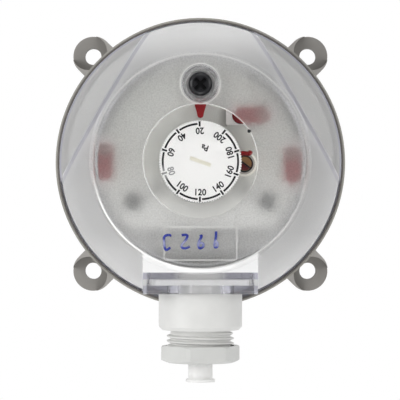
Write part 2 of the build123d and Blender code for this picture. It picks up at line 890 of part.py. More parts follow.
# The cover's half section; the inside is the same form pulled in by the wall
def dome(inset):
    rim = cover_rim_radius if inset == 0 else cover_side_radius - inset
    side = cover_side_radius - inset
    step_inset = min(inset, plateau_step_wall)
    shoulder = shoulder_radius - step_inset
    plateau = plateau_radius - step_inset
    top = cover_depth - inset
    rim_top = cover_back_depth + cover_rim_height
    below_plateau = top - plateau_step - plateau_bevel
    section = make_face(
        [
            Polyline((0, -cover_back_depth), (rim, -cover_back_depth), (rim, -rim_top),
                     (side + cover_side_draft, -rim_top), (side, -cover_side_depth)),
            ThreePointArc(
                (side, -cover_side_depth),
                (cover_bulge_radius - inset, -cover_bulge_depth + inset / 2),
                (shoulder, -below_plateau),
            ),
            Polyline((shoulder, -below_plateau), (plateau, -top + plateau_step),
                     (plateau, -top + plateau_bevel), (plateau - plateau_bevel, -top),
                     (0, -top), (0, -cover_back_depth)),
        ]
    )
    return revolve(section, Axis.Y)


def beyond_chord(angle, distance, from_depth):
    reach = 2 * case_radius
    outline = Rot(0, 0, angle) * Pos(distance + reach / 2, 0) * Rectangle(reach, 2 * reach)
    return raised(from_depth, outline, cover_depth)


def make_cover():
    outer = dome(0)
    inner = dome(cover_wall)
    for angle in chord_angles:
        outer -= beyond_chord(angle, chord_distance, ledge_depth)
        inner -= beyond_chord(angle, chord_distance - chord_wall, ledge_depth - cover_wall)
    outer += bar(chamber_width, chamber_height, cover_back_depth, chamber_front_depth - cover_back_depth,
                 z=(chamber_top + chamber_bottom) / 2)
    rim_top = cover_back_depth + cover_rim_height
    below = bar(chamber_width + 2 * cover_wall, case_radius, rim_top, cover_depth,
                z=chamber_bottom - case_radius / 2)
    outer -= below
    inner -= Pos(0, 0, chamber_floor) * bar(
        chamber_width + 2 * cover_wall, case_radius, rim_top, cover_depth, z=chamber_bottom - case_radius / 2)
    inside_height = chamber_height - chamber_floor
    inner += bar(chamber_width - 2 * chamber_wall, inside_height, cover_back_depth,
                 chamber_front_depth - chamber_wall - cover_back_depth,
                 z=chamber_bottom + chamber_floor + inside_height / 2)
    cover = outer - inner
    guide_back = gland_depth - gland_flange_length / 2
    guide_length = chamber_front_depth - chamber_wall - guide_back
    guide_span = chamber_width - 2 * chamber_wall
    guide_gap = guide_span - 2 * guide_width
    guide_z = flange_top + gland_side_clearance + guide_height / 2
    guide = bar(guide_span, guide_height, guide_back, guide_length, z=guide_z)
    guide -= bar(guide_gap, guide_height, guide_back, guide_length - guide_width, z=guide_z)
    cover += guide
    boss_back = cover_post_depth + cover_post_gap
    cover += disc(cover_boss_radius, boss_back, cover_depth - boss_back, z=cover_screw_z)
    screw_well = [
        (0, screw_seat_depth),
        (screw_recess_radius, screw_seat_depth),
        (screw_recess_radius, cover_depth - screw_dish),
        (cover_boss_radius, cover_depth),
        (cover_boss_radius, cover_depth + overcut),
        (0, cover_depth + overcut),
    ]
    cover -= Pos(0, 0, cover_screw_z) * turned(screw_well)
    cover -= disc(screw_shank_radius + screw_clearance, boss_back, cover_depth, z=cover_screw_z)
    slot_radius = gland_neck_radius + gland_side_clearance
    slot_run = gland_depth - cover_back_depth
    slot_z = chamber_bottom
    cover -= bar(2 * slot_radius, 2 * chamber_floor, cover_back_depth, slot_run, z=slot_z)
    cover -= Pos(0, -gland_depth, slot_z) * Cylinder(slot_radius, 2 * chamber_floor)
    cover -= bar(2 * slot_radius, 2 * chamber_inset, cover_back_depth, cover_rim_height, z=-case_radius)
    ring = Circle(window_radius + window_ring_width / 2) - Circle(window_radius - window_ring_width / 2)
    ring += Pos(0, cover_screw_z) * Circle(cover_boss_radius + window_ring_width)
    ring -= Pos(0, cover_screw_z) * Circle(cover_boss_radius)
    cover += raised(cover_depth, ring, window_ring_height)
    line = 2 * name_field_line
    field = RectangleRounded(name_field_width, name_field_height, name_field_corner)
    field -= Rectangle(name_field_width - line, name_field_height - line)
    return cover + raised(cover_depth, Pos(0, name_field_z) * field, window_ring_height)


def make_cover_screw():
    shank = disc(screw_shank_radius, screw_seat_depth - screw_length, screw_length, z=cover_screw_z)
    head = disc(screw_head_radius, screw_seat_depth, screw_head_height, z=cover_screw_z)
    head = fillet(head.edges().group_by(Axis.Y)[0], screw_head_round)
    screw = shank + head
    top = screw_seat_depth + screw_head_height
    for angle in (45, 135):
        screw -= slot_across(2 * cross_reach, cross_width, cross_depth, top - cross_depth,
                             z=cover_screw_z, angle=angle)
    return screw


def make_gland_body():
    flange = Pos(0, -gland_depth, flange_bottom + gland_flange / 2) * Box(
        gland_flange_width, gland_flange_length, gland_flange)
    flange = fillet(flange.edges().filter_by(Axis.Z), gland_flange_round)
    tube_top = flange_top + inner_tube_height
    outline = [
        (0, tube_top),
        (inner_tube_radius, tube_top),
        (inner_tube_radius, flange_top - gland_flange / 2),
        (gland_neck_radius, flange_top - gland_flange / 2),
        (gland_neck_radius, chamber_bottom),
        (collar_radius, chamber_bottom),
        (collar_radius, collar_bottom + collar_round),
        (collar_radius - collar_round, collar_bottom),
        (thread_core_radius, collar_bottom),
        (thread_core_radius, thread_end + thread_chamfer),
        (thread_core_radius - thread_chamfer, thread_end),
        (0, thread_end),
    ]
    body = flange + turned_down(outline, gland_depth)
    bore = [
        (0, tube_top + overcut),
        (gland_bore_radius, tube_top + overcut),
        (gland_bore_radius, thread_end + seal_chamber_depth),
        (seal_chamber_radius, thread_end + seal_chamber_depth),
        (seal_chamber_radius, thread_end - overcut),
        (0, thread_end - overcut),
    ]
    return body - turned_down(bore, gland_depth)


def make_gland_seal():
    top = thread_end + seal_chamber_depth
    outline = [
        (plug_radius, top),
        (seal_chamber_radius, top),
        (seal_chamber_radius, top - seal_length + seal_chamfer),
        (seal_chamber_radius - seal_chamfer, top - seal_length),
        (plug_radius, top - seal_length),
    ]
    return turned_down(outline, gland_depth)


def make_gland_ring():
    bottom = nut_bottom + nut_end_wall + ring_play
    outline = [
        (ring_bore_radius, bottom),
        (ring_flange_radius, bottom),
        (ring_flange_radius, bottom + ring_flange),
        (ring_radius, bottom + ring_flange),
        (ring_radius, bottom + ring_height - ring_chamfer),
        (ring_radius - ring_chamfer, bottom + ring_height),
        (ring_bore_radius, bottom + ring_height),
    ]
    return turned_down(outline, gland_depth)


def make_gland_nut():
    hexagon = RegularPolygon(nut_flat_radius, 6, major_radius=False, rotation=nut_turn)
    blank = extrude(Pos(0, 0, nut_bottom) * hexagon, gland_nut_height)
    corner = nut_corner_radius
    rounding = [
        (0, nut_bottom),
        (nut_flat_radius - nut_chamfer, nut_bottom),
        (corner, nut_bottom + nut_chamfer),
        (corner, nut_top - nut_chamfer / 2),
        (corner - nut_chamfer / 2, nut_top),
        (0, nut_top),
    ]
    nut = Pos(0, -gland_depth, 0) * blank
    nut = nut & turned_down(rounding, gland_depth)
    bore = [
        (0, nut_top),
        (nut_bore_radius, nut_top),
        (nut_bore_radius, nut_bottom + nut_end_wall),
        (nut_end_bore_radius, nut_bottom + nut_end_wall),
        (nut_end_bore_radius, nut_bottom),
        (0, nut_bottom),
    ]
    return nut - turned_down(bore, gland_depth)


def make_gland_plug():
    top = plug_end_z + plug_length
    outline = [
        (0, plug_end_z),
        (plug_rim_radius, plug_end_z),
        (plug_rim_radius, plug_end_z + plug_rim),
        (plug_radius, plug_end_z + plug_rim),
        (plug_radius, top - plug_chamfer),
        (plug_radius - plug_chamfer, top),
        (plug_radius - plug_wall, top),
        (plug_radius - plug_wall, plug_end_z + plug_rim),
        (0, plug_end_z + plug_rim),
    ]
    return turned_down(outline, gland_depth)


pieces = {
    "base_housing": make_base_housing(),
    "diaphragm": make_diaphragm(),
    "diaphragm_plate": make_diaphragm_plate(),
    "stud_clip": make_stud_clip(),
    "spring_plate": make_spring_plate(),
    "upper_housing": make_upper_housing(),
    "lever_pin": make_lever_pin(),
    "switch_lever": make_switch_lever(),
    "cover_gasket": make_cover_gasket(),
    "range_spring": make_range_spring(),
    "mechanism_plate": make_mechanism_plate(),
    "plate_screws": make_plate_screws(),
    "spring_nut": make_spring_nut(),
    "setting_spindle": make_setting_spindle(),
    "setpoint_dial": make_setpoint_dial(),
    "micro_switch": make_micro_switch(),
    "switch_button": make_switch_button(),
    "differential_screw": make_differential_screw(),
    "terminal_feet": make_terminal_feet(),
    "blade_terminals": make_blade_terminals(),
    "terminal_insulators": make_terminal_insulators(),
    "terminal_screws": make_terminal_screws(),
    "setting_pointer": make_setting_pointer(),
    "cover": make_cover(),
    "cover_screw": make_cover_screw(),
    "gland_body": make_gland_body(),
    "gland_seal": make_gland_seal(),
    "gland_ring": make_gland_ring(),
    "gland_nut": make_gland_nut(),
    "gland_plug": make_gland_plug(),
}

os.makedirs("parts", exist_ok=True)
for name, shape in pieces.items():
    export_step(shape, f"parts/{name}.step")
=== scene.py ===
import math

import bpy
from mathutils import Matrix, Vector


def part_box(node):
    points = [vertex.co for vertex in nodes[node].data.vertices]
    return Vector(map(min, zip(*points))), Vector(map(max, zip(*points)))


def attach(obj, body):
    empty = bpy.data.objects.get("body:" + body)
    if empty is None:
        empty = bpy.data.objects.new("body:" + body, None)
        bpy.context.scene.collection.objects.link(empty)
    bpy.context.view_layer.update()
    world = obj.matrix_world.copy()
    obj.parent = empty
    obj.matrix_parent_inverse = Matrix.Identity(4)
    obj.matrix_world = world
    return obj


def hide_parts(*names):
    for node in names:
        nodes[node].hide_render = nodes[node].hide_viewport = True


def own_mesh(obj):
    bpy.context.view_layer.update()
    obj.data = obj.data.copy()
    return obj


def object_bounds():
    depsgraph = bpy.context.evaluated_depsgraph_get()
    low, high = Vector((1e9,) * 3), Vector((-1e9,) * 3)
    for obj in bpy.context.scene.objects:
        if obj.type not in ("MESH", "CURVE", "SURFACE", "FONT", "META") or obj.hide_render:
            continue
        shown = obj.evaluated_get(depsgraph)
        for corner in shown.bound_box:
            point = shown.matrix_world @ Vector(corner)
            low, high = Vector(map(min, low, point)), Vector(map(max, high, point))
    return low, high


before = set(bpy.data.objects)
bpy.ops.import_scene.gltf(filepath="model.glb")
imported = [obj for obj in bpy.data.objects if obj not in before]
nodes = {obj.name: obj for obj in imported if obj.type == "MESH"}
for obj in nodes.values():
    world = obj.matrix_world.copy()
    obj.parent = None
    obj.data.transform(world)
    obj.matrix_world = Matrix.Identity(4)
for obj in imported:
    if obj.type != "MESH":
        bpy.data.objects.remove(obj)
cad_low, cad_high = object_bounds()
mm = 0.001


# Base housing and its four ears.
# One dish moulded in grey plastic with a fine matt grain; four screws through
# the ears hold it to the wall, and its rim takes the cover.
def speckle(tree, size, detail=2.0):
    place = tree.nodes.new("ShaderNodeTexCoord")
    noise = tree.nodes.new("ShaderNodeTexNoise")
    noise.inputs["Scale"].default_value = 1 / size
    noise.inputs["Detail"].default_value = detail
    tree.links.new(place.outputs["Object"], noise.inputs["Vector"])
    return noise.outputs["Fac"]


def spread(tree, value, low, high, start=0.3, end=0.7):
    stretch = tree.nodes.new("ShaderNodeMapRange")
    stretch.inputs["From Min"].default_value = start
    stretch.inputs["From Max"].default_value = end
    stretch.inputs["To Min"].default_value = low
    stretch.inputs["To Max"].default_value = high
    tree.links.new(value, stretch.inputs["Value"])
    return stretch.outputs["Result"]


def between(tree, value, dark, light, start=0.3, end=0.7):
    ramp = tree.nodes.new("ShaderNodeValToRGB")
    for stop, position, colour in zip(ramp.color_ramp.elements, (start, end), (dark, light)):
        stop.position = position
        stop.color = (*colour, 1)
    tree.links.new(value, ramp.inputs["Fac"])
    return ramp.outputs["Color"]


def grain_bump(tree, shader, size, height, strength=0.6, detail=3.0):
    bump = tree.nodes.new("ShaderNodeBump")
    bump.inputs["Distance"].default_value = height
    bump.inputs["Strength"].default_value = strength
    tree.links.new(speckle(tree, size, detail), bump.inputs["Height"])
    tree.links.new(bump.outputs["Normal"], shader.inputs["Normal"])


def finish_of(name):
    material = bpy.data.materials.new(name)
    material.use_nodes = True
    tree = material.node_tree
    return material, tree, tree.nodes["Principled BSDF"]


def mottled(name, dark, light, patch, roughness, uneven, rough_patch, grain, height):
    material, tree, shader = finish_of(name)
    tree.links.new(between(tree, speckle(tree, patch), dark, light), shader.inputs["Base Color"])
    rough = spread(tree, speckle(tree, rough_patch), roughness - uneven, roughness + uneven)
    tree.links.new(rough, shader.inputs["Roughness"])
    grain_bump(tree, shader, grain, height)
    return material, shader


def moulded(name, colour, roughness, patch=6 * mm, grain=0.25 * mm, height=0.02 * mm, shift=0.06,
            shine=0.5):
    dark = [c * (1 - shift) for c in colour]
    light = [min(1.0, c * (1 + shift)) for c in colour]
    material, shader = mottled(name, dark, light, patch, roughness, uneven=0.05, rough_patch=2 * grain,
                               grain=grain, height=height)
    shader.inputs["IOR"].default_value = 1.46
    shader.inputs["Specular IOR Level"].default_value = shine
    return material


def paint(node, material):
    node_slots = nodes[node].material_slots
    if not node_slots:
        nodes[node].data.materials.append(material)
    for node_slot in node_slots:
        node_slot.material = material


def worked_out(tree, operation, first, second=0.0):
    node = tree.nodes.new("ShaderNodeMath")
    node.operation = operation
    for socket, value in zip(node.inputs, (first, second)):
        if isinstance(value, (int, float)):
            socket.default_value = value
        else:
            tree.links.new(value, socket)
    return node.outputs["Value"]


def above(tree, value, edge, soft=0.06 * mm):
    return spread(tree, value, 0.0, 1.0, edge - soft, edge + soft)


def below(tree, value, edge, soft=0.06 * mm):
    return spread(tree, value, 1.0, 0.0, edge - soft, edge + soft)


def both(tree, *masks):
    joined = masks[0]
    for mask in masks[1:]:
        joined = worked_out(tree, "MULTIPLY", joined, mask)
    return joined


def over(tree, ground, mask, value):
    mix = tree.nodes.new("ShaderNodeMix")
    is_colour = isinstance(value, tuple)
    mix.data_type = "RGBA" if is_colour else "FLOAT"
    socket_type = "RGBA" if is_colour else "VALUE"
    tree.links.new(mask, mix.inputs["Factor"])
    ends = [s for s in mix.inputs if s.name in ("A", "B") and s.type == socket_type]
    for end, shown in zip(ends, (ground, value)):
        if isinstance(shown, (int, float)):
            end.default_value = shown
        elif isinstance(shown, tuple):
            end.default_value = (*shown, 1)
        else:
            tree.links.new(shown, end)
    return next(s for s in mix.outputs if s.type == socket_type)


def away_from(tree, x, z, middle_x=0.0, middle_z=0.0):
    across = worked_out(tree, "POWER", worked_out(tree, "SUBTRACT", x, middle_x), 2)
    upward = worked_out(tree, "POWER", worked_out(tree, "SUBTRACT", z, middle_z), 2)
    return worked_out(tree, "SQRT", worked_out(tree, "ADD", across, upward))


def axes_of(tree):
    place = tree.nodes.new("ShaderNodeTexCoord")
    split = tree.nodes.new("ShaderNodeSeparateXYZ")
    tree.links.new(place.outputs["Object"], split.inputs["Vector"])
    return [split.outputs[axis] for axis in "XYZ"]


def tint(material, mask, colour):
    tree = material.node_tree
    base = tree.nodes["Principled BSDF"].inputs["Base Color"]
    tree.links.new(over(tree, base.links[0].from_socket, mask, colour), base)


housing_grey = (0.290, 0.278, 0.262)
painted_rim_highlight_grey = (0.36, 0.35, 0.31)
painted_gap_shade_grey = (0.125, 0.115, 0.105)
rim_front_y = -17 * mm
gap_shade_inner = 41.3 * mm
gap_shade_outer = 41.95 * mm
edge_inner = 42.1 * mm
housing_plastic = moulded("housing_grey_plastic", housing_grey, 0.55)
housing_tree = housing_plastic.node_tree
housing_x, housing_y, housing_z = axes_of(housing_tree)
from_axis = away_from(housing_tree, housing_x, housing_z)
rim_front = below(housing_tree, housing_y, rim_front_y, 0.3 * mm)
# Painted shade: a dark line is painted round the rim's inner edge, in the gap where the cover meets it.
painted_gap_shade = both(housing_tree, rim_front, above(housing_tree, from_axis, gap_shade_inner, 0.15 * mm),
                  below(housing_tree, from_axis, gap_shade_outer, 0.15 * mm))
# Painted highlight: the front of the rim's outer edge is painted lighter than the housing.
painted_rim_highlight = both(housing_tree, rim_front, above(housing_tree, from_axis, edge_inner, 0.2 * mm))
tint(housing_plastic, painted_rim_highlight, painted_rim_highlight_grey)
tint(housing_plastic, painted_gap_shade, painted_gap_shade_grey)
paint("base_housing", housing_plastic)


# Diaphragm and its plate.
# A silicone membrane with a rolled fold lies between the two chambers; a
# stamped aluminium plate with a stud carries its force to the switch lever.
def milky_rubber(name, colour, roughness, scatter):
    material, shader = mottled(name, [c * 0.93 for c in colour], colour, 4 * mm, roughness, uneven=0.06,
                               rough_patch=1 * mm, grain=0.5 * mm, height=0.01 * mm)
    shader.inputs["Subsurface Weight"].default_value = scatter
    shader.inputs["Subsurface Scale"].default_value = 1 * mm
    return material


def metal(name, colour, roughness, grain=0.4 * mm):
    material, shader = mottled(name, [c * 0.85 for c in colour], colour, 2 * mm, roughness, uneven=0.07,
                               rough_patch=grain, grain=grain, height=0.004 * mm)
    shader.inputs["Metallic"].default_value = 1.0
    return material


zinc = metal("zinc_plated_steel", (0.62, 0.62, 0.62), 0.32)
paint("diaphragm", milky_rubber("silicone_membrane", (0.80, 0.74, 0.67), 0.45, 0.3))
paint("diaphragm_plate", metal("stamped_aluminium", (0.80, 0.80, 0.80), 0.35))
paint("stud_clip", zinc)


# Upper housing and the cover's seal.
# A pale grey moulding clamps the membrane and snaps into the base; a milky
# silicone ring in a groove of this moulding seals the cover.
inner_grey = (0.70, 0.695, 0.68)
paint("upper_housing", moulded("inner_housing_plastic", inner_grey, 0.5))
paint("cover_gasket", milky_rubber("silicone_gasket", (0.62, 0.61, 0.59), 0.5, 0.1))


# Switch lever, its pin and the micro switch.
# A stamped steel lever rocks on its pin and presses the switch's red button;
# lever and pin are zinc plated, the switch's case is black plastic.
paint("switch_lever", zinc)
paint("lever_pin", zinc)
paint("micro_switch", moulded("switch_black_plastic", (0.03, 0.03, 0.03), 0.42, grain=0.15 * mm))
paint("switch_button", moulded("button_red_plastic", (0.50, 0.07, 0.05), 0.35, height=0.004 * mm))


# Range spring with its seats, and the spindle.
# The spindle draws the cream nut along to load the steel coils; the rear turns
# move with the diaphragm and the front ones with the nut, and close up between.
def skin(points, faces, smooth=True):
    mesh = bpy.data.meshes.new("skin")
    mesh.from_pydata(points, [], faces)
    if smooth:
        mesh.polygons.foreach_set("use_smooth", [True] * len(mesh.polygons))
    mesh.validate()
    return mesh


def tube_mesh(centres, radius, sides=10):
    points, faces = [], []
    for k, centre in enumerate(centres):
        after = centres[min(k + 1, len(centres) - 1)]
        before = centres[max(k - 1, 0)]
        along = (after - before).normalized()
        across = along.cross(Vector((0, 1, 0))).normalized()
        up = across.cross(along)
        for s in range(sides):
            turn = 2 * math.pi * s / sides
            points.append(centre + (across * math.cos(turn) + up * math.sin(turn)) * radius)
    for k in range(len(centres) - 1):
        for s in range(sides):
            right = (s + 1) % sides
            a, b = k * sides, (k + 1) * sides
            faces.append((a + s, a + right, b + right, b + s))
    faces.append(list(range(sides - 1, -1, -1)))
    faces.append([(len(centres) - 1) * sides + s for s in range(sides)])
    return skin(points, faces)


def piece(name, mesh, material, body):
    mesh.name = name
    mesh.materials.append(material)
    made = bpy.data.objects.new(name, mesh)
    bpy.context.scene.collection.objects.link(made)
    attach(made, body)
    return made


wire_radius = 0.35 * mm
coil_radius = 4.1 * mm
free_turns = 4.0
end_turns = 0.8
front_turns = 1.8
steps_per_turn = 36
end_closing = 0.15
spring_low, spring_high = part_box("range_spring")
spring_back = spring_high.y - wire_radius
spring_front = spring_low.y + wire_radius
all_turns = free_turns + 2 * end_turns
step_count = round(all_turns * steps_per_turn)
coil_line = []
for k in range(step_count + 1):
    turn = all_turns * k / step_count
    share = min(1.0, max(0.0, (turn - end_turns) / free_turns))
    eased = share * share * (3 - 2 * share) * end_closing + share * (1 - end_closing)
    rise = spring_back + (spring_front - spring_back) * eased
    angle = 2 * math.pi * turn
    coil_line.append(Vector((coil_radius * math.cos(angle), rise, coil_radius * math.sin(angle))))
parting = step_count - round(front_turns * steps_per_turn)
spring_steel = metal("drawn_spring_wire", (0.42, 0.42, 0.43), 0.28)
rear_coils = piece("coiled_spring", tube_mesh(coil_line[:parting + 1], wire_radius), spring_steel,
                   "stud")
front_coils = piece("coiled_spring_front", tube_mesh(coil_line[parting:], wire_radius), spring_steel,
                    "spring_nut")
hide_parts("range_spring")
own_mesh(rear_coils)
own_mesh(front_coils)
paint("spring_plate", zinc)
cream = (0.66, 0.61, 0.50)
paint("spring_nut", moulded("nut_cream_plastic", cream, 0.4))
paint("setting_spindle", moulded("spindle_cream_plastic", cream, 0.38))


# Mechanism plate and its two screws.
# A grey moulded plate carries the dial's tower and the terminals; two
# blackened cross-head screws hold it to the posts of the upper housing.
mechanism_grey = (0.74, 0.745, 0.70)
painted_low_light_grey = (0.92, 0.92, 0.89)
boss_cream = (0.50, 0.47, 0.42)
boss_edge = (0.98, 0.96, 0.88)
painted_shade_under_dial = (0.25, 0.25, 0.24)
painted_shade_patch_grey = (0.36, 0.36, 0.35)
painted_foot_shadow = (0.36, 0.35, 0.33)
boss_radius = 3.1 * mm
boss_edge_inner = 3.05 * mm
boss_edge_outer = 3.65 * mm
tower_radius = 11.85 * mm
shade_patch_x = 12.9 * mm
shade_patch_z = -7.6 * mm
shade_patch_radius = 2.4 * mm
upper_foot_z = 10.3 * mm
shade_width = 2.3 * mm
screw_low, screw_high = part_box("differential_screw")
screw_x = (screw_low.x + screw_high.x) / 2
screw_z = (screw_low.z + screw_high.z) / 2
plate_plastic = moulded("mechanism_plastic", mechanism_grey, 0.5, patch=9 * mm, shift=0.05, shine=0.3)
plate_tree = plate_plastic.node_tree
plate_x, _, plate_z = axes_of(plate_tree)
from_boss = away_from(plate_tree, plate_x, plate_z, screw_x, screw_z)
from_dial = away_from(plate_tree, plate_x, plate_z)
# Painted light: the plate is painted lighter towards its lower part.
tint(plate_plastic, spread(plate_tree, plate_z, 1.0, 0.0, -16 * mm, 0.0), painted_low_light_grey)
tint(plate_plastic, below(plate_tree, from_boss, boss_radius, 0.15 * mm), boss_cream)
boss_ring = both(plate_tree, above(plate_tree, from_boss, boss_edge_inner, 0.1 * mm),
                 below(plate_tree, from_boss, boss_edge_outer, 0.1 * mm))
tint(plate_plastic, boss_ring, boss_edge)
# Painted shade: the plate under the dial, seen between the knurl's teeth, is painted dark.
tint(plate_plastic, below(plate_tree, from_dial, tower_radius), painted_shade_under_dial)
# Painted shade: soft dark patches are painted on the plate, left and right below the dial.
plate_side = worked_out(plate_tree, "ABSOLUTE", plate_x)
from_shade_patch = away_from(plate_tree, plate_side, plate_z, shade_patch_x, shade_patch_z)
painted_shade_patch = both(plate_tree, below(plate_tree, from_shade_patch, shade_patch_radius, 2.2 * mm), 0.55)
tint(plate_plastic, painted_shade_patch, painted_shade_patch_grey)
# Painted shadow: a soft dark strip is painted on the plate along the left side of the upper terminal foot.
foot_left = min(v.co.x for v in nodes["terminal_feet"].data.vertices if v.co.z > upper_foot_z)
shadow_beside_foot = both(plate_tree, spread(plate_tree, plate_x, 0.0, 0.8, foot_left - shade_width, foot_left),
                   below(plate_tree, plate_x, foot_left + 0.3 * mm),
                   above(plate_tree, plate_z, upper_foot_z))
tint(plate_plastic, shadow_beside_foot, painted_foot_shadow)
paint("mechanism_plate", plate_plastic)
steel_black = (0.012, 0.012, 0.014)
paint("plate_screws", moulded("blackened_plate_steel", steel_black, 0.4, height=0.004 * mm, shine=0.1))


# Three terminals.
# Each has a white foot, a brass blade, a red insulating body with full round
# ends, and a steel clamping screw.
insulator_red = (0.25, 0.006, 0.008)
painted_insulator_shadow = (0.10, 0.002, 0.004)
shade_radius = 16.6 * mm
foot_plastic = moulded("foot_white_plastic", (0.95, 0.93, 0.90), 0.42, height=0.006 * mm, shine=0.3)
red_plastic = moulded("insulator_red_plastic", insulator_red, 0.4, height=0.004 * mm, shine=0.12)
red_tree = red_plastic.node_tree
red_x, _, red_z = axes_of(red_tree)
# Painted shadow: the red insulator is painted darker where it lies within the window's reach.
shadowed_near_window = below(red_tree, away_from(red_tree, red_x, red_z), shade_radius, 0.5 * mm)
tint(red_plastic, shadowed_near_window, painted_insulator_shadow)
paint("terminal_feet", foot_plastic)
paint("blade_terminals", metal("turned_brass", (0.46, 0.27, 0.12), 0.38))
paint("terminal_insulators", red_plastic)
paint("terminal_screws", metal("dulled_steel", (0.30, 0.17, 0.15), 0.45))


# Differential screw, sealed at the works.
# A slotted brass screw in a cream-coloured boss; drops of red lacquer lie on
# its lower left half and across its top, so that it isn't turned again.
def domed_patch(outline, depth, height, rings=5):
    count = len(outline)
    middle = Vector((sum(p[0] for p in outline) / count, 0, sum(p[1] for p in outline) / count))
    points = [Vector((x, -depth, z)) for x, z in outline]
    for ring in range(1, rings + 1):
        share = ring / rings
        rise = height * math.sin(share * math.pi / 2)
        for x, z in outline:
            flat = middle.lerp(Vector((x, 0, z)), 1 - share)
            points.append(Vector((flat.x, -depth - rise, flat.z)))
    faces = [list(range(count))]
    for ring in range(rings):
        for k in range(count):
            right = (k + 1) % count
            a, b = ring * count, (ring + 1) * count
            faces.append((a + k, b + k, b + right, a + right))
    return skin(points, faces)


def round_outline(x, z, radius_x, radius_z, wobble, waves=3, start=1.0, count=36):
    outline = []
    for k in range(count):
        angle = 2 * math.pi * k / count
        reach = 1 + wobble * math.sin(waves * angle + start)
        outline.append((x + radius_x * reach * math.cos(angle), z + radius_z * reach * math.sin(angle)))
    return outline


def arc(x, z, radius, start, sweep, steps):
    angles = [start + sweep * k / steps for k in range(steps + 1)]
    return [(x + radius * math.cos(angle), z + radius * math.sin(angle)) for angle in angles]


def wet_paint(name, colour, roughness=0.3):
    material, tree, shader = finish_of(name)
    dark = [c * 0.55 for c in colour]
    tree.links.new(between(tree, speckle(tree, 0.8 * mm), dark, colour), shader.inputs["Base Color"])
    grain_bump(tree, shader, 0.5 * mm, 0.03 * mm)
    shader.inputs["Roughness"].default_value = roughness
    shader.inputs["Specular IOR Level"].default_value = 0.15
    return material


paint("differential_screw", metal("dull_brass", (0.30, 0.16, 0.07), 0.42))
screw_front = -screw_low.y
boss_front = screw_front - 0.9 * mm
head_radius = (screw_high.x - screw_low.x) / 2
disc_radius = 0.92 * head_radius
rim_radius = 1.04 * head_radius
slot_half_length = 0.9 * head_radius
slot_half_width = 0.11 * head_radius
slot_turn = math.radians(-37)
lacquer_red = wet_paint("red_lacquer", (0.42, 0.008, 0.014))
lacquer_dark = wet_paint("dark_red_lacquer", (0.13, 0.002, 0.004))
# Painted shade: a near-black ring is laid round the screw's head and a near-black patch over its slot.
painted_shade_black = wet_paint("painted_shade_black_red", (0.012, 0.004, 0.004))
half_disc = arc(screw_x, screw_z, disc_radius, slot_turn + math.pi, math.pi, 24)
slot_along = Vector((math.cos(slot_turn), math.sin(slot_turn))) * slot_half_length
slot_across = Vector((-math.sin(slot_turn), math.cos(slot_turn))) * slot_half_width
screw_middle = Vector((screw_x, screw_z))
slot_line = []
for along, across in ((-1, -1), (1, -1), (1, 1), (-1, 1)):
    slot_line.append(tuple(screw_middle + slot_along * along + slot_across * across))
rim_line = []
for x, z in arc(screw_x, screw_z, rim_radius, 0.0, 2 * math.pi, 48):
    rim_line.append(Vector((x, 0.25 * mm - screw_front, z)))
bar_line = round_outline(screw_x + 0.1 * mm, screw_z + 2.85 * mm, 2.0 * mm, 0.85 * mm, 0.06)
drop_line = round_outline(screw_x + 1.6 * mm, screw_z + 3.2 * mm, 0.72 * mm, 0.72 * mm, 0.06)
for name, mesh, lacquer in (
        ("lacquer_on_screw", domed_patch(half_disc, screw_front, 0.12 * mm), lacquer_dark),
        ("painted_shade_in_slot", domed_patch(slot_line, screw_front, 0.16 * mm), painted_shade_black),
        ("painted_shade_rim", tube_mesh(rim_line, 0.32 * mm, 8), painted_shade_black),
        ("lacquer_bar", domed_patch(bar_line, boss_front, 0.9 * mm), lacquer_red),
        ("lacquer_drop", domed_patch(drop_line, boss_front, 1.1 * mm), lacquer_red)):
    piece(name, mesh, lacquer, "housing")


# Setting dial and its printed scale.
# A white knurled knob; the scale from 20 to 200 Pa is printed on its face in
# black, and the print has worn to grey at the 80.
def ring_sector(inner, outer, start, end, steps):
    points, faces = [], []
    for k in range(steps + 1):
        angle = start + (end - start) * k / steps
        for radius in (inner, outer):
            points.append((-radius * math.sin(angle), radius * math.cos(angle)))
    for k in range(steps):
        faces.append((2 * k, 2 * k + 1, 2 * k + 3, 2 * k + 2))
    return points, faces


def printed_text(text, height, width_share, radius, angle, boldness=0.075 * mm, capital_share=0.7):
    curve = bpy.data.curves.new("print_" + text, "FONT")
    curve.body = text
    curve.align_x = "CENTER"
    curve.align_y = "CENTER"
    curve.size = height / capital_share
    curve.resolution_u = 3
    curve.offset = boldness
    shown = bpy.data.objects.new("print_" + text, curve)
    bpy.context.scene.collection.objects.link(shown)
    bpy.context.view_layer.update()
    mesh = bpy.data.meshes.new_from_object(shown)
    bpy.data.objects.remove(shown)
    turn = angle + math.pi
    points = []
    for vertex in mesh.vertices:
        x = vertex.co.x * width_share
        z = vertex.co.y
        points.append((-radius * math.sin(angle) + x * math.cos(turn) - z * math.sin(turn),
                       radius * math.cos(angle) + x * math.sin(turn) + z * math.cos(turn)))
    return points, [list(polygon.vertices) for polygon in mesh.polygons]


def flat_print(shapes, depth):
    points, faces = [], []
    for outline, polygons in shapes:
        first = len(points)
        points += [(x, -depth, z) for x, z in outline]
        faces += [[first + k for k in polygon] for polygon in polygons]
    return skin(points, faces, smooth=False)


def worn_ink(name, colour, worn_colour, worn_place, worn_reach):
    material, tree, shader = finish_of(name)
    place = tree.nodes.new("ShaderNodeTexCoord")
    away = tree.nodes.new("ShaderNodeVectorMath")
    away.operation = "DISTANCE"
    away.inputs[1].default_value = worn_place
    tree.links.new(place.outputs["Object"], away.inputs[0])
    near = spread(tree, away.outputs["Value"], 1.0, 0.0, 0.35 * worn_reach, worn_reach)
    tree.links.new(between(tree, near, colour, worn_colour), shader.inputs["Base Color"])
    shader.inputs["Roughness"].default_value = 0.6
    shader.inputs["Specular IOR Level"].default_value = 0.2
    return material


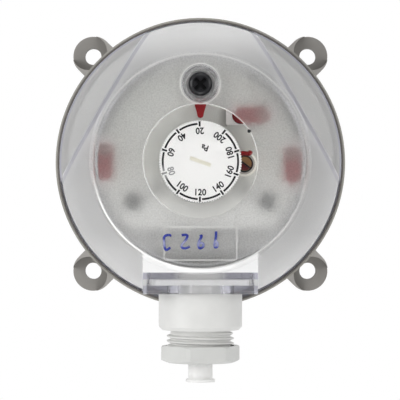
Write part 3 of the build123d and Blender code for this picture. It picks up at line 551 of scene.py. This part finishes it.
dial_white = (0.905, 0.90, 0.885)
painted_slot_shade = (0.88, 0.86, 0.76)
painted_knurl_shade = (0.42, 0.42, 0.41)
slot_reach = 3.6 * mm
face_reach = 11.2 * mm
dial_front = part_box("setpoint_dial")[0].y
dial_plastic = moulded("dial_white_plastic", dial_white, 0.42, height=0.006 * mm, shift=0.015, shine=0.3)
dial_tree = dial_plastic.node_tree
dial_x, dial_y, dial_z = axes_of(dial_tree)
from_spindle = away_from(dial_tree, dial_x, dial_z)
# Painted shade: the inside of the slot is painted a darker cream.
shaded_in_slot = both(dial_tree, below(dial_tree, from_spindle, slot_reach),
               above(dial_tree, dial_y, dial_front + 0.2 * mm))
# Painted shade: the knurled side of the dial is painted grey.
shaded_dial_side = both(dial_tree, above(dial_tree, from_spindle, face_reach),
                 above(dial_tree, dial_y, dial_front + 0.15 * mm))
tint(dial_plastic, shaded_in_slot, painted_slot_shade)
tint(dial_plastic, shaded_dial_side, painted_knurl_shade)
paint("setpoint_dial", dial_plastic)
first_mark = math.radians(1.2)
mark_step = math.radians(35.6)
mark_gap = math.radians(3.2)
lowest_setting = 20
highest_setting = 200
scale_step = 20
scale_values = range(lowest_setting, highest_setting + 1, scale_step)
line_radius = 10.75 * mm
line_half = 0.29 * mm
line_steps = 18
tick_half = 0.28 * mm
tick_inner = 10.0 * mm
tick_outer = 11.5 * mm
tick_steps = 2
digit_height = 1.8 * mm
digit_width_share = 0.92
digit_radius = 8.85 * mm
unit_height = 1.6 * mm
unit_width_share = 0.95
unit_radius = 4.2 * mm
unit_angle = math.radians(-18)
print_depth = 0.015 * mm - dial_front
print_shapes = []
for k, value in enumerate(scale_values):
    mark = first_mark + k * mark_step
    if value < highest_setting:
        print_shapes.append(ring_sector(line_radius - line_half, line_radius + line_half,
                                        mark + mark_gap, mark + mark_step - mark_gap, line_steps))
    half_turn = tick_half / line_radius
    print_shapes.append(ring_sector(tick_inner, tick_outer, mark - half_turn, mark + half_turn, tick_steps))
    print_shapes.append(printed_text(str(value), digit_height, digit_width_share, digit_radius, mark))
print_shapes.append(printed_text("Pa", unit_height, unit_width_share, unit_radius, unit_angle))
worn_setting = 80
worn_mark = first_mark + scale_values.index(worn_setting) * mark_step
worn_radius = 9.2 * mm
worn_place = (-worn_radius * math.sin(worn_mark), dial_front, worn_radius * math.cos(worn_mark))
scale_ink = worn_ink("scale_ink", (0.012, 0.012, 0.014), (0.33, 0.33, 0.33), worn_place, 3.4 * mm)
piece("dial_print", flat_print(print_shapes, print_depth), scale_ink, "dial")


# Setting pointer.
# A red moulded finger above the dial's edge, on a leg from the plate; its tip
# shows the setting on the scale.
pointer_red = (0.25, 0.004, 0.007)
paint("setting_pointer", moulded("pointer_red_plastic", pointer_red, 0.45, height=0.004 * mm, shine=0.1))


# Cover.
# One clear moulding: polished in the round window and the cable chamber, and
# finely frosted elsewhere; its raised lines and thick edges carry painted
# highlights, and painted light, shade and reflection lie on its other faces.
window_radius = 16.15 * mm
dish_radius = 5.5 * mm
dish_y = -54 * mm
plateau_radius = 30.25 * mm
plateau_edge_inner = 30.2 * mm
plateau_edge_outer = 30.55 * mm
plateau_edge_y = -56 * mm
lit_edge_outer = 30.75 * mm
lit_edge_y = -55 * mm
shoulder_radius = 31.0 * mm
shoulder_y = -30 * mm
outer_edge_radius = 40.7 * mm
outer_edge_y = -20 * mm
wall_turn = math.radians(30)
wall_band_at = 31.2 * mm
wall_edge_at = 32.2 * mm
wall_foot_y = -34 * mm
ledge_at = 32.55 * mm
ledge_y = -34.5 * mm
raised_y = -58.1 * mm
faint_slope = 0.35
faint_outer = 18 * mm
faint_start = -14 * mm
faint_end = -7 * mm
field_top = -17.7 * mm
chamber_half_width = 16.3 * mm
chamber_wall_at = 15.2 * mm
chamber_top = -20 * mm
chamber_head_bottom = -31.5 * mm
beam_top = -31.2 * mm
beam_bottom = -33.4 * mm
low_band_top = -35.2 * mm
low_band_bottom = -37.3 * mm
band_middle_half = 6.5 * mm


def layered(tree, ground, layers):
    for zone, value in layers:
        ground = over(tree, ground, zone, value)
    return ground


def cover_zones(tree):
    x, y, z = axes_of(tree)
    side = worked_out(tree, "ABSOLUTE", x)
    from_middle = worked_out(tree, "ABSOLUTE", z)
    radius = away_from(tree, x, z)
    from_screw = away_from(tree, x, z, middle_z=cover_screw_z)
    towards_wall = worked_out(tree, "ADD", worked_out(tree, "MULTIPLY", side, math.cos(wall_turn)),
                              worked_out(tree, "MULTIPLY", z, math.sin(wall_turn)))
    leaning = worked_out(tree, "SUBTRACT", z, worked_out(tree, "MULTIPLY", x, faint_slope))

    window = both(tree, below(tree, radius, window_radius), above(tree, from_screw, dish_radius))
    # Painted shade: the dish round the cover screw is painted grey.
    screw_dish = both(tree, below(tree, from_screw, dish_radius), below(tree, y, dish_y))
    shoulder = both(tree, above(tree, radius, shoulder_radius, 0.4 * mm), below(tree, y, shoulder_y))
    # Painted highlight: a light lilac line is painted along the cover's outer edge by the rim.
    outer_edge_highlight = both(tree, above(tree, radius, outer_edge_radius, 0.2 * mm), below(tree, y, outer_edge_y))

    # Painted shade and highlight: a dark lilac-grey band is painted on each chord wall and a light band
    # beyond it.
    wall_band_shade = both(tree, above(tree, towards_wall, wall_band_at, 0.15 * mm), below(tree, y, wall_foot_y))
    wall_edge_highlight = both(tree, above(tree, towards_wall, wall_edge_at), below(tree, y, wall_foot_y))
    ledge = both(tree, above(tree, towards_wall, ledge_at), above(tree, y, ledge_y))

    # Painted highlight: a light line along the plateau's edge, strongest at top and bottom and brightest at
    # the lower left.
    plateau_edge_highlight = both(tree, above(tree, radius, plateau_edge_inner, 0.1 * mm),
                        below(tree, radius, plateau_edge_outer, 0.1 * mm), below(tree, y, plateau_edge_y),
                        spread(tree, from_middle, 0.35, 1.0, 8 * mm, 20 * mm))
    lower_left = both(tree, below(tree, x, -4 * mm, 4 * mm), below(tree, z, -8 * mm, 5 * mm))
    lit_edge = both(tree, lower_left, above(tree, radius, plateau_radius),
                    below(tree, radius, lit_edge_outer), below(tree, y, lit_edge_y))

    # Painted highlight: the raised lines at the front are painted light; it fades at the window ring's
    # lower left and is dimmer on the name field's outline.
    raised_line_highlight = below(tree, y, raised_y, 0.02 * mm)
    highlight_fade_line = both(tree, raised_line_highlight, below(tree, radius, faint_outer),
                      spread(tree, leaning, 1.0, 0.0, faint_start, faint_end))
    field_line_highlight = both(tree, raised_line_highlight, below(tree, z, field_top))

    chamber = both(tree, below(tree, side, chamber_half_width), below(tree, z, chamber_top),
                   above(tree, radius, plateau_radius))
    # Painted reflection: the chamber's top is painted milky white with little clearness, in place of the
    # white surroundings reflected there.
    chamber_head_reflection = both(tree, chamber, above(tree, z, chamber_head_bottom, 0.15 * mm))
    chamber_wall = both(tree, chamber, above(tree, side, chamber_wall_at))
    beam = both(tree, chamber, below(tree, z, beam_top), above(tree, z, beam_bottom))
    low_band = both(tree, chamber, below(tree, z, low_band_top), above(tree, z, low_band_bottom))
    band_middle = both(tree, worked_out(tree, "MAXIMUM", beam, low_band),
                       below(tree, side, band_middle_half, 1.5 * mm))
    return {
        "window": window, "screw_dish": screw_dish, "shoulder": shoulder, "outer_edge_highlight": outer_edge_highlight,
        "wall_band_shade": wall_band_shade, "wall_edge_highlight": wall_edge_highlight, "ledge": ledge, "plateau_edge_highlight": plateau_edge_highlight,
        "lit_edge": lit_edge, "raised_line_highlight": raised_line_highlight, "highlight_fade_line": highlight_fade_line,
        "field_line_highlight": field_line_highlight, "chamber": chamber, "chamber_head_reflection": chamber_head_reflection,
        "chamber_wall": chamber_wall, "beam": beam, "low_band": low_band, "band_middle": band_middle,
    }


def cover_levels(tree):
    x, _, z = axes_of(tree)
    cloudy = spread(tree, speckle(tree, 0.45 * mm), 0.6557, 0.9347)
    # Painted light and shade: the frosted plateau is painted lighter towards the bottom and dark along its
    # lowest part.
    painted_light_fade = spread(tree, z, 1.06, 0.98, -20 * mm, 10 * mm)
    painted_shade_low = spread(tree, z, 0.50, 1.0, -29.5 * mm, -24 * mm)
    # Painted light and shade on the shoulder: lighter at the top, the bottom and the left, darker on the
    # upper sides.
    smooth_level = 0.7467
    painted_light_top = spread(tree, z, 1.0, 1.45, 27 * mm, 36 * mm)
    painted_shade_upper = spread(tree, z, 1.0, 0.93, 6 * mm, 18 * mm)
    painted_light_lower = spread(tree, z, 1.02, 1.0, -24 * mm, -4 * mm)
    painted_light_low = spread(tree, z, 1.28, 1.0, -33 * mm, -20 * mm)
    painted_light_across = spread(tree, x, 1.04, 0.98, -25 * mm, 25 * mm)
    frosted_and_painted_shading = both(tree, cloudy, painted_light_fade, painted_shade_low)
    smooth = both(tree, painted_light_top, painted_shade_upper, painted_light_lower, painted_light_low, painted_light_across, smooth_level)
    return frosted_and_painted_shading, smooth


def cover_plastic():
    material, tree, shader = finish_of("clear_cover_plastic")
    zone = cover_zones(tree)
    clearness = layered(tree, 0.94, [
        (zone["shoulder"], 0.80),
        (zone["ledge"], 0.55),
        (zone["window"], 1.0),
        (zone["chamber"], 0.86),
        (zone["chamber_wall"], 0.55),
        (zone["chamber_head_reflection"], 0.32),
        (zone["plateau_edge_highlight"], 0.45),
        (zone["lit_edge"], 0.15),
        (zone["raised_line_highlight"], 0.60),
        (zone["highlight_fade_line"], 0.95),
        (zone["field_line_highlight"], 0.70),
    ])
    tree.links.new(clearness, shader.inputs["Transmission Weight"])
    roughness = layered(tree, 0.30, [
        (zone["window"], 0.02),
        (zone["chamber"], 0.04),
        (zone["screw_dish"], 0.25),
    ])
    tree.links.new(roughness, shader.inputs["Roughness"])
    frosted_and_painted_shading, smooth = cover_levels(tree)
    colour = layered(tree, frosted_and_painted_shading, [
        (zone["shoulder"], smooth),
        (zone["ledge"], (0.88, 0.88, 0.87)),
        (zone["window"], (0.98, 0.98, 0.98)),
        (zone["chamber"], (0.97, 0.97, 0.98)),
        (zone["beam"], (0.62, 0.62, 0.70)),
        (zone["low_band"], (0.70, 0.70, 0.78)),
        (zone["band_middle"], (0.96, 0.96, 0.97)),
        (zone["outer_edge_highlight"], (0.80, 0.80, 0.88)),
        (zone["chamber_head_reflection"], (0.99, 0.99, 0.99)),
        (zone["wall_band_shade"], (0.52, 0.52, 0.58)),
        (zone["wall_edge_highlight"], (0.88, 0.88, 0.92)),
        (zone["screw_dish"], (0.60, 0.60, 0.62)),
        (zone["plateau_edge_highlight"], (0.95, 0.95, 0.94)),
        (zone["lit_edge"], (1.0, 1.0, 0.99)),
        (zone["raised_line_highlight"], (0.97, 0.97, 0.95)),
        (zone["highlight_fade_line"], (0.80, 0.80, 0.79)),
        (zone["field_line_highlight"], (0.91, 0.91, 0.895)),
    ])
    tree.links.new(colour, shader.inputs["Base Color"])
    frosting = tree.nodes.new("ShaderNodeBump")
    frosting.inputs["Distance"].default_value = 0.06 * mm
    tree.links.new(speckle(tree, 0.35 * mm, 3.0), frosting.inputs["Height"])
    polished = worked_out(tree, "MAXIMUM", zone["window"], zone["chamber"])
    tree.links.new(spread(tree, polished, 0.8, 0.0, 0.0, 1.0), frosting.inputs["Strength"])
    tree.links.new(frosting.outputs["Normal"], shader.inputs["Normal"])
    shader.inputs["IOR"].default_value = 1.50
    return material


cover_screw_low, cover_screw_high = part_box("cover_screw")
cover_screw_z = (cover_screw_low.z + cover_screw_high.z) / 2
paint("cover", cover_plastic())


# Cover screw.
# A blackened cross-head screw, captive in the cover's boss; it turns into a
# post of the upper housing.
black_metal = moulded("blackened_steel", steel_black, 0.32, height=0.004 * mm)
paint("cover_screw", black_metal)


# Marks on the cover.
# Four strokes of blue pen lie in the raised field below the window, and a
# small black speck sits on the window's ring.
def flat_stroke(line, width, depth, height):
    curve = bpy.data.curves.new("pen_line", "CURVE")
    curve.dimensions = "3D"
    curve.bevel_depth = width / 2
    curve.bevel_resolution = 2
    curve.use_fill_caps = True
    spline = curve.splines.new("NURBS")
    spline.points.add(len(line) - 1)
    for point, (x, z) in zip(spline.points, line):
        point.co = (x, -depth, z, 1)
    spline.order_u = 3
    spline.use_endpoint_u = True
    drawn = bpy.data.objects.new("pen_line", curve)
    bpy.context.scene.collection.objects.link(drawn)
    bpy.context.view_layer.update()
    mesh = bpy.data.meshes.new_from_object(drawn)
    bpy.data.objects.remove(drawn)
    for vertex in mesh.vertices:
        vertex.co.y = -depth + (vertex.co.y + depth) * 2 * height / width
    return mesh


def faded_ink():
    material, tree, shader = finish_of("blue_ink")
    _, _, z = axes_of(tree)
    middle = both(tree, below(tree, z, -22.2 * mm, 0.3 * mm), above(tree, z, -24.1 * mm, 0.3 * mm))
    patchy = both(tree, middle, spread(tree, speckle(tree, 0.9 * mm), 0.3, 1.0))
    ink = between(tree, speckle(tree, 0.8 * mm), (0.015, 0.02, 0.20), (0.06, 0.08, 0.34))
    tree.links.new(over(tree, ink, patchy, (0.33, 0.34, 0.48)), shader.inputs["Base Color"])
    shader.inputs["Roughness"].default_value = 0.4
    shader.inputs["Specular IOR Level"].default_value = 0.15
    return material


cover_front = -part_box("cover")[0].y
ink_width = 0.7 * mm
ink_height = 0.03 * mm
pen_strokes = [
    [(-8.6, -21.2), (-8.2, -20.7), (-10.3, -21.0), (-10.2, -22.8), (-10.1, -24.5), (-9.5, -25.3),
     (-8.5, -24.3)],
    [(-5.3, -20.9), (-3.4, -20.5), (-4.0, -22.2), (-5.2, -23.4), (-5.4, -24.4), (-4.0, -24.7),
     (-3.0, -24.0)],
    [(-0.1, -21.3), (0.5, -20.7), (0.0, -22.0), (-0.7, -23.1), (-0.4, -24.8), (1.0, -24.1),
     (0.7, -22.8), (-0.3, -23.2)],
    [(4.4, -19.8), (4.4, -21.7), (4.0, -22.8), (3.9, -24.4), (4.9, -24.2), (4.8, -22.6),
     (4.0, -23.1)],
]
blue_ink = faded_ink()
for k, line in enumerate(pen_strokes):
    scaled = [(x * mm, z * mm) for x, z in line]
    stroke = flat_stroke(scaled, ink_width, cover_front + ink_height, ink_height)
    piece(f"pen_stroke_{k + 1}", stroke, blue_ink, "cover")
ring_height = 0.27 * mm
speck_line = round_outline(13.7 * mm, 8.4 * mm, 0.52 * mm, 0.5 * mm, 0.08)
piece("black_speck", domed_patch(speck_line, cover_front + ring_height, 0.12 * mm), black_metal, "cover")


# Cable gland.
# The pale grey body's flange slides into the cover's slot; the hexagon nut on
# its thread presses the ring on the black rubber seal.
def thread_mesh(root, crest, pitch, top, bottom, axis_depth):
    steps = 48
    run_out = steps / 3
    root_half = 0.62 * mm
    crest_half = 0.14 * mm
    sunk = root - 0.1 * mm
    count = round((top - bottom) / pitch * steps)
    points, faces = [], []
    for k in range(count + 1):
        angle = 2 * math.pi * k / steps
        z = top - pitch * k / steps
        swell = min(1.0, k / run_out, (count - k) / run_out)
        reach = sunk + (crest - sunk) * swell
        for radius, shift in ((sunk, root_half), (reach, crest_half), (reach, -crest_half),
                              (sunk, -root_half)):
            points.append((radius * math.sin(angle), -axis_depth - radius * math.cos(angle), z + shift))
    for k in range(count):
        a, b = 4 * k, 4 * (k + 1)
        for s in range(4):
            right = (s + 1) % 4
            faces.append((a + s, a + right, b + right, b + s))
    faces.append((0, 3, 2, 1))
    faces.append(tuple(4 * count + s for s in range(4)))
    return skin(points, faces, smooth=False)


gland_plastic = moulded("gland_plastic", (0.66, 0.66, 0.645), 0.42, height=0.006 * mm, shift=0.03)
nut_plastic = moulded("gland_nut_plastic", (0.56, 0.565, 0.55), 0.4, height=0.006 * mm, shift=0.03)
seal_rubber, _ = mottled("seal_rubber", (0.018, 0.018, 0.019), (0.035, 0.035, 0.036), 2 * mm, 0.675,
                         uneven=0.075, rough_patch=0.6 * mm, grain=0.3 * mm, height=0.01 * mm)
paint("gland_body", gland_plastic)
paint("gland_seal", seal_rubber)
paint("gland_ring", nut_plastic)
paint("gland_nut", nut_plastic)
nut_low, nut_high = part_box("gland_nut")
gland_axis = -(nut_low.y + nut_high.y) / 2
thread_root = 8.6 * mm
thread_crest = 9.68 * mm
thread_pitch = 1.4 * mm
thread_top = -49.0 * mm
thread_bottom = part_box("gland_body")[0].z + 0.6 * mm
thread = thread_mesh(thread_root, thread_crest, thread_pitch, thread_top, thread_bottom, gland_axis)
piece("gland_thread", thread, gland_plastic, "cover")


# Blanking plug.
# A thin natural plastic cap that keeps dust out of the gland until it is
# wired; light passes through its wall.
def natural_plastic():
    material, tree, shader = finish_of("natural_plug_plastic")
    milky = between(tree, speckle(tree, 1.5 * mm), (0.94, 0.935, 0.92), (0.98, 0.98, 0.97))
    tree.links.new(milky, shader.inputs["Base Color"])
    tree.links.new(spread(tree, speckle(tree, 0.8 * mm), 0.40, 0.50), shader.inputs["Roughness"])
    shader.inputs["Transmission Weight"].default_value = 0.25
    return material


paint("gland_plug", natural_plastic())


# Studio.
# A pale floor far below, a white surround, soft lamps left and right and weaker
# ones above and below; the camera stands where the photograph was taken.
def studio_light(tree):
    light = tree.nodes["Background"]
    path = tree.nodes.new("ShaderNodeLightPath")
    way = tree.nodes.new("ShaderNodeTexCoord")
    split = tree.nodes.new("ShaderNodeSeparateXYZ")
    tree.links.new(way.outputs["Generated"], split.inputs["Vector"])
    x, y, z = [split.outputs[axis] for axis in "XYZ"]
    soft = spread(tree, z, 0.70, 0.66, -1.0, 1.0)
    mirrored = spread(tree, y, 0.08, 1.0, -0.9, -0.2)
    outward = spread(tree, y, 2.05, 1.0, -0.7, 0.0)
    rightward = spread(tree, x, 0.92, 1.08, -0.6, 0.6)
    behind_camera = spread(tree, y, 0.1, 1.0, -0.985, -0.95)
    strength = layered(tree, soft, [
        (path.outputs["Is Glossy Ray"], mirrored),
        (path.outputs["Is Transmission Ray"], both(tree, outward, rightward, behind_camera)),
        (path.outputs["Is Camera Ray"], 1.0),
    ])
    light.inputs["Color"].default_value = (1, 1, 1, 1)
    tree.links.new(strength, light.inputs["Strength"])


scene = bpy.context.scene
world = bpy.data.worlds.new("studio")
world.use_nodes = True
scene.world = world
studio_light(world.node_tree)

floor_height = cad_low.z - 940 * mm
floor_left, floor_right = -0.8, 0.8
floor_near, floor_far = -0.9, 0.5
floor_corners = [(floor_left, floor_near), (floor_right, floor_near), (floor_right, floor_far),
                 (floor_left, floor_far)]
floor_mesh = bpy.data.meshes.new("floor")
floor_mesh.from_pydata([(x, y, floor_height) for x, y in floor_corners], [], [(0, 1, 2, 3)])
floor = bpy.data.objects.new("floor", floor_mesh)
scene.collection.objects.link(floor)
floor_mesh.materials.append(moulded("pale_floor", (0.86, 0.86, 0.86), 0.8, patch=80 * mm, grain=2 * mm))

lamp_away = 0.80
lamp_near = -0.55
lamp_width = 0.6
side_height = 0.12
aim = Vector((0, 0, -0.01))
for name, x, z, power in (("left_box", -lamp_away, side_height, 3.9),
                          ("right_box", lamp_away, side_height, 1.8),
                          ("top_box", 0.0, lamp_away, 1.1),
                          ("low_box", 0.0, -lamp_away, 2.4)):
    lamp = bpy.data.lights.new(name, "AREA")
    lamp.shape = "DISK"
    lamp.size = lamp_width
    lamp.energy = power
    held = bpy.data.objects.new(name, lamp)
    held.location = (x, lamp_near, z)
    held.rotation_euler = (aim - held.location).to_track_quat("-Z", "Y").to_euler()
    scene.collection.objects.link(held)

camera_x = -0.12 * mm
camera_distance = 755 * mm
camera_height = -10.98 * mm
camera_data = bpy.data.cameras.new("camera")
camera_data.lens = 222.84
camera_data.sensor_width = 36
camera_data.clip_start = 0.01
camera = bpy.data.objects.new("camera", camera_data)
camera.location = (camera_x, -camera_distance, camera_height)
camera.rotation_euler = (math.pi / 2, 0, 0)
scene.collection.objects.link(camera)
scene.camera = camera
scene.view_settings.view_transform = "Standard"
